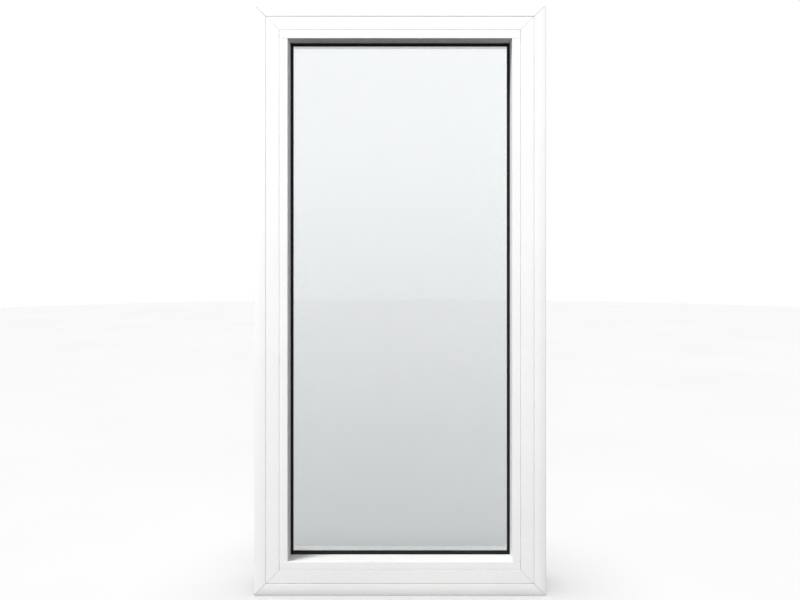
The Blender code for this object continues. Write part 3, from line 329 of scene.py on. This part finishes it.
def pane_glass(name, tint, haze, index):
    """Float glass: body tint, a trace of handling haze and the long slow waves of the float bath.

    A sun-control coat raises a pane's index, and an anti-reflection coat lowers it.
    """
    shader = Shader(name)
    deeper = tuple(part * 0.985 for part in tint)
    shader.feed("Base Color", shader.ramp(shader.noise(2.5, 2.0), (0.3, deeper), (0.7, tint)))
    smear = shader.noise(14.0, 4.0, 0.6, shader.stretched((1.0, 1.0, 0.4)))
    shader.feed("Roughness", shader.spread(smear, 0.0, haze))
    shader.feed("Normal", shader.bump(shader.noise(6.0, 1.0), 0.00004))
    shader.set(Transmission_Weight=1.0, IOR=index)
    return shader.material


def make_materials():
    return {
        "frame_paint": powder_coat("frame_powder_coat", (0.914, 0.914, 0.909), (0.890, 0.891, 0.887)),
        "hardware_paint": die_cast_coat("hardware_coat", (0.84, 0.84, 0.825), (0.79, 0.79, 0.775)),
        "steel_x": brushed_steel("steel_strip_across", "X"),
        "steel_z": brushed_steel("steel_strip_upright", "Z"),
        "gear_steel": machined_steel("greased_gear_steel"),
        "key_aluminium": cast_aluminium("mill_aluminium"),
        "black_rubber": rubber("black_rubber", (0.014, 0.014, 0.015), (0.007, 0.007, 0.008), shine=0.15),
        "sealant": rubber("edge_sealant", (0.035, 0.034, 0.033), (0.016, 0.016, 0.016), 0.35, 0.6),
        "white_rubber": rubber("white_flap_rubber", (0.74, 0.74, 0.73), (0.66, 0.66, 0.65)),
        "spacer_black": rubber("warm_edge_spacer", (0.022, 0.022, 0.023), (0.012, 0.012, 0.012), 0.3, 0.5),
        "nylon": moulded_nylon("natural_nylon", (0.78, 0.76, 0.70), (0.70, 0.68, 0.62)),
        "outer_glass": pane_glass("outer_float_glass", (0.820, 0.835, 0.843), 0.010, 2.0),
        "inner_glass": pane_glass("inner_float_glass", (0.820, 0.835, 0.843), 0.010, 1.15),
    }


MATERIALS = make_materials()


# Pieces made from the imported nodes

def link_piece(name, mesh, material):
    mesh.materials.clear()
    mesh.materials.append(MATERIALS[material])
    piece = bpy.data.objects.new(name, mesh)
    bpy.context.scene.collection.objects.link(piece)
    return piece


def rounded(node, material, radius):
    """The node's own shape as one welded skin with its sharp edges rounded, standing for the node."""
    mesh = NODES[node].data.copy()
    mesh.name = node + "_finished"
    work = bmesh.new()
    work.from_mesh(mesh)
    bmesh.ops.remove_doubles(work, verts=work.verts, dist=WELD)
    bmesh.ops.dissolve_limit(work, angle_limit=FLAT, verts=work.verts, edges=work.edges)
    work.to_mesh(mesh)
    work.free()
    mesh.shade_smooth()
    mesh.set_sharp_from_angle(angle=SOFT_EDGE)
    piece = link_piece(node + "_finished", mesh, material)
    bevel = piece.modifiers.new("rounded_edges", "BEVEL")
    bevel.width = radius
    bevel.segments = BEVEL_STEPS
    bevel.limit_method = "ANGLE"
    bevel.angle_limit = SOFT_EDGE
    bevel.miter_outer = "MITER_ARC"
    weighted = piece.modifiers.new("flat_faces_stay_flat", "WEIGHTED_NORMAL")
    weighted.keep_sharp = True
    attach(piece, NODES[node]["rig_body"])
    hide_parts(node)
    return piece


def finish_metal_pieces():
    """Everything coated or pressed gets rounded edges; its finish follows the record's slot."""
    steel_upright = ("tie_bar", "keeper_", "tie_bar_guide", "lock_roller")
    gears = ("worm_shaft", "lock_pinion", "drive_rack")
    for node, item in sorted(NODES.items()):
        slot = slot_of[node]
        if slot == "frame_paint":
            rounded(node, "frame_paint", PROFILE_ROUND)
        elif slot == "hardware_paint":
            rounded(node, "hardware_paint", CASTING_ROUND)
        elif slot == "stainless" and not node.startswith(gears):
            finish = "steel_z" if node.startswith(steel_upright) else "steel_x"
            rounded(node, finish, STEEL_ROUND)
        else:
            coat_node(item, node, slot, gears)


def coat_node(item, node, slot, gears):
    """A node whose shape stays gets its finish in its own material slot."""
    finish = {"seal_rubber": "black_rubber", "stainless": "gear_steel"}.get(slot, slot)
    if node == "edge_sealant":
        finish = "sealant"
    if node.endswith("_pane"):
        finish = node.replace("pane", "glass")
    item.data.materials.clear()
    item.data.materials.append(MATERIALS[finish])


slot_of = {part["node"]: part["material_slot"] for part in frame["record"]["subparts"]}


# Pieces that only the looks need

def add_flap_seal():
    """A thin white flap round the frame's lip that closes most of the joint between frame and sash."""
    low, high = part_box("frame_sill")[0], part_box("frame_head")[1]
    sash_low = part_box("sash_hinge_stile")[0]
    face = sash_low[0] - low[0] - REVEAL_GAP
    front = low[1] + FLAP_FROM_FRONT
    back = front + FLAP_DEPTH
    work = bmesh.new()
    rings = []
    for inset in (face - FLAP_ROOT, face + FLAP_REACH):
        for y in (front, back):
            corners = (
                (low[0] + inset, low[2] + inset),
                (high[0] - inset, low[2] + inset),
                (high[0] - inset, high[2] - inset),
                (low[0] + inset, high[2] - inset),
            )
            rings.append([work.verts.new((x, y, z)) for x, z in corners])
    outer_front, outer_back, inner_front, inner_back = rings
    for first, second in (
        (outer_front, inner_front),
        (inner_front, inner_back),
        (inner_back, outer_back),
        (outer_back, outer_front),
    ):
        for index in range(4):
            after = (index + 1) % 4
            work.faces.new((first[index], first[after], second[after], second[index]))
    bmesh.ops.recalc_face_normals(work, faces=work.faces)
    mesh = bpy.data.meshes.new("flap_seal")
    work.to_mesh(mesh)
    work.free()
    piece = link_piece("flap_seal", mesh, "white_rubber")
    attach(piece, NODES["frame_sill"]["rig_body"])


def add_screw(name, node, place, facing):
    """A low pan-head screw with a six-lobed recess, standing on a face that looks up (1) or down (-1)."""
    work = bmesh.new()
    rings = []
    for reach, height, lobes in SCREW_PROFILE:
        ring = []
        for step in range(SCREW_STEPS):
            angle = 2 * math.pi * step / SCREW_STEPS
            radius = SCREW_RADIUS * reach * (1 + lobes * math.cos(RECESS_LOBES * angle))
            x = place[0] + radius * math.cos(angle)
            y = place[1] + radius * math.sin(angle)
            ring.append(work.verts.new((x, y, place[2] + facing * SCREW_HEIGHT * height)))
        rings.append(ring)
    for first, second in zip(rings, rings[1:]):
        for step in range(SCREW_STEPS):
            after = (step + 1) % SCREW_STEPS
            work.faces.new((first[step], first[after], second[after], second[step]))
    work.faces.new(rings[0])
    work.faces.new(rings[-1])
    bmesh.ops.recalc_face_normals(work, faces=work.faces)
    mesh = bpy.data.meshes.new(name)
    work.to_mesh(mesh)
    work.free()
    mesh.shade_smooth()
    mesh.set_sharp_from_angle(angle=SOFT_EDGE)
    piece = link_piece(name, mesh, "gear_steel")
    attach(piece, NODES[node]["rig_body"])


def add_screws():
    """Two screws hold the operator's base down beside its cover, and two hold each sash arm to its rail."""
    low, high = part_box("operator_base")
    cover_low, cover_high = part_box("operator_cover")
    middle = (low[1] + high[1]) / 2
    top = cover_low[2] - COVER_SEAT
    left = (low[0] + cover_low[0]) / 2
    right = (high[0] + cover_high[0]) / 2
    add_screw("base_screw_left", "operator_base", (left, middle, top), 1)
    add_screw("base_screw_right", "operator_base", (right, middle, top), 1)
    for end, facing, side in (("bottom", -1, 1), ("top", 1, 0)):
        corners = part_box("sash_arm_" + end)
        arm_middle = (corners[0][1] + corners[1][1]) / 2
        face = corners[side][2] + facing * SASH_ARM_THICKNESS
        for number, offset in enumerate(SASH_ARM_SCREWS):
            x = corners[1][0] - offset
            add_screw(f"{end}_arm_screw_{number}", "sash_arm_" + end, (x, arm_middle, face), facing)


# Studio

def stage_object(name, mesh, material):
    piece = bpy.data.objects.new(name, mesh)
    mesh.materials.append(material)
    bpy.context.scene.collection.objects.link(piece)
    return piece


def floor_material():
    """Matt pale paint with a barely visible roller texture.

    Light that has already bounced passes through it, so the glass mirrors the same room below the floor line
    as above it.
    """
    shader = Shader("pale_floor")
    shader.feed("Base Color", shader.ramp(shader.noise(1.5, 3.0), (0.3, 0.80), (0.7, 0.82)))
    shader.feed("Roughness", shader.spread(shader.noise(60.0, 3.0), 0.75, 0.95))
    shader.set(Specular_IOR_Level=0.1)
    tree = shader.tree
    path = tree.nodes.new("ShaderNodeLightPath").outputs
    bounces = maths(tree, "ADD", path["Diffuse Depth"], path["Glossy Depth"])
    bounced = maths(tree, "GREATER_THAN", bounces, 0.5)
    clear = tree.nodes.new("ShaderNodeBsdfTransparent")
    either = tree.nodes.new("ShaderNodeMixShader")
    tree.links.new(bounced, either.inputs[0])
    tree.links.new(shader.surface.outputs[0], either.inputs[1])
    tree.links.new(clear.outputs[0], either.inputs[2])
    output = next(node for node in tree.nodes if node.type == "OUTPUT_MATERIAL")
    tree.links.new(either.outputs[0], output.inputs["Surface"])
    return shader.material


def add_floor():
    """A wide round floor, left out of the light on the window, so that the shaded sides keep their tone."""
    work = bmesh.new()
    bmesh.ops.create_circle(work, cap_ends=True, segments=FLOOR_STEPS, radius=FLOOR_RADIUS)
    mesh = bpy.data.meshes.new("floor")
    work.to_mesh(mesh)
    work.free()
    floor = stage_object("floor", mesh, floor_material())
    floor.visible_diffuse = False
    floor.visible_glossy = False
    return floor


def add_soft_light(name, place, size, power, receivers):
    data = bpy.data.lights.new(name, "AREA")
    data.shape = "DISK"
    data.size = size
    data.energy = power
    light = bpy.data.objects.new(name, data)
    light.location = place
    light.rotation_euler = (Vector(LIGHT_TARGET) - Vector(place)).to_track_quat("-Z", "Y").to_euler()
    bpy.context.scene.collection.objects.link(light)
    light.light_linking.receiver_collection = receivers
    light.visible_camera = False
    light.visible_transmission = False


def add_overhead_wash(receivers):
    """Even light straight down, wide enough to leave only a soft contact shadow."""
    data = bpy.data.lights.new("floor_wash", "SUN")
    data.angle = WASH_ANGLE
    data.energy = WASH_POWER
    light = bpy.data.objects.new("floor_wash", data)
    bpy.context.scene.collection.objects.link(light)
    light.light_linking.receiver_collection = receivers


def light_group(name, floor, state):
    """A light-linking list that names only the floor, as the one thing lit or the one thing left out."""
    group = bpy.data.collections.new(name)
    group.objects.link(floor)
    group.collection_objects[0].light_linking.link_state = state
    return group


def add_lights(floor):
    window_only = light_group("lights_window_only", floor, "EXCLUDE")
    floor_only = light_group("lights_floor_only", floor, "INCLUDE")
    for name, place, size, power in SOFT_LIGHTS:
        add_soft_light(name, place, size, power, window_only)
    add_overhead_wash(floor_only)


def add_world():
    """White behind everything seen directly or through the glass.

    All else is lit by a dim room with one tall panel in front of the window. The panel grows brighter upwards
    and gives the glass its gradient.
    """
    world = bpy.data.worlds.new("studio")
    bpy.context.scene.world = world
    world.use_nodes = True
    tree = world.node_tree
    tree.nodes.clear()

    def smooth(value, start, end, low, high):
        made = tree.nodes.new("ShaderNodeMapRange")
        made.interpolation_type = "SMOOTHSTEP"
        for socket, number in zip(("From Min", "From Max", "To Min", "To Max"), (start, end, low, high)):
            made.inputs[socket].default_value = number
        tree.links.new(value, made.inputs["Value"])
        return made.outputs["Result"]

    split_node = tree.nodes.new("ShaderNodeSeparateXYZ")
    direction = tree.nodes.new("ShaderNodeTexCoord").outputs["Generated"]
    tree.links.new(direction, split_node.inputs[0])
    split = split_node.outputs
    forward = maths(tree, "MAXIMUM", maths(tree, "MULTIPLY", split["Y"], -1.0), 0.001)
    rise = maths(tree, "DIVIDE", split["Z"], forward)
    aside = maths(tree, "ABSOLUTE", maths(tree, "DIVIDE", split["X"], forward))

    climb = smooth(rise, -0.60, 0.30, 0.0, 1.0)
    top = smooth(rise, 0.42, 0.60, 1.0, 0.0)
    side = smooth(aside, 0.35, 0.60, 1.0, 0.0)
    panel = maths(tree, "MULTIPLY", maths(tree, "MULTIPLY", climb, top), side)
    room = maths(tree, "ADD", maths(tree, "MULTIPLY", panel, PANEL_LIGHT), ROOM_LIGHT)

    path = tree.nodes.new("ShaderNodeLightPath").outputs
    straight = maths(tree, "ADD", path["Is Camera Ray"], path["Is Transmission Ray"])
    bounces = maths(tree, "ADD", path["Diffuse Depth"], path["Glossy Depth"])
    seen = maths(tree, "GREATER_THAN", maths(tree, "SUBTRACT", straight, bounces), 0.5)
    lit = maths(tree, "MULTIPLY", room, maths(tree, "SUBTRACT", 1.0, seen))
    light = tree.nodes.new("ShaderNodeBackground")
    light.inputs["Color"].default_value = (1, 1, 1, 1)
    tree.links.new(maths(tree, "MAXIMUM", seen, lit), light.inputs["Strength"])
    output = tree.nodes.new("ShaderNodeOutputWorld")
    tree.links.new(light.outputs[0], output.inputs["Surface"])


bpy.context.scene.view_settings.view_transform = "Standard"
add_camera()
finish_metal_pieces()
add_flap_seal()
add_screws()
add_world()
add_lights(add_floor())
